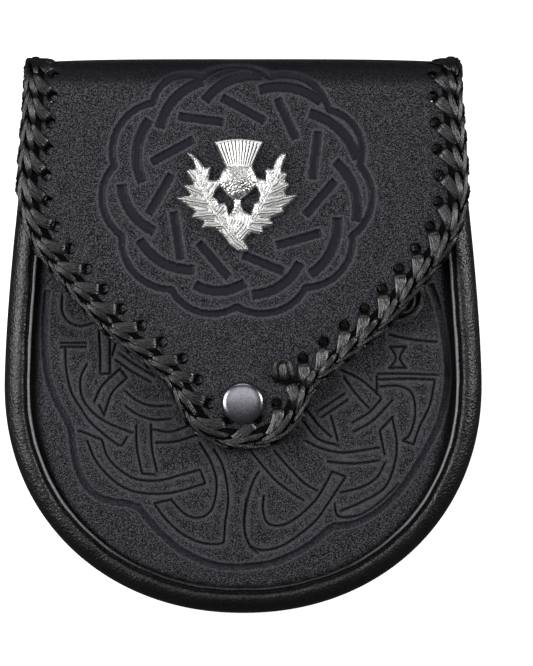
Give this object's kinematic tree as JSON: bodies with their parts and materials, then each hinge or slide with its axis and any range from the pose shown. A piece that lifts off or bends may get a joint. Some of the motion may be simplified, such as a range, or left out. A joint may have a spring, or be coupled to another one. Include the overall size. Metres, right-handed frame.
{
  "type": "sporran pouch",
  "caption": "Black leather pouch worn at the waist, with a laced flap over a tooled body, a cast silver thistle and a press stud.",
  "frame": {"origin": "centre of the footprint on the surface that the pouch lies on, back down", "axes": "+X across the pouch to the right seen from its front, +Y up towards the fold, +Z out of its front"},
  "size_m": [0.1746, 0.2038, 0.0467],
  "materials": {
    "leather": "black, grained and tooled, semi-gloss",
    "lace": "black flat lace, glossy and streaked",
    "badge_metal": "cast, polished, dark in its hollows",
    "snap_metal": "dark nickel, smooth"
  },
  "bodies": {
    "root": {"gusset": "leather", "front_panel": "leather", "back_panel": "leather", "flap": "leather", "edge_lacing": "lace", "badge": "badge_metal", "snap_cap": "snap_metal", "snap_stud": "snap_metal", "belt_loop_left": "leather", "belt_loop_right": "leather"}
  },
  "joints": []
}
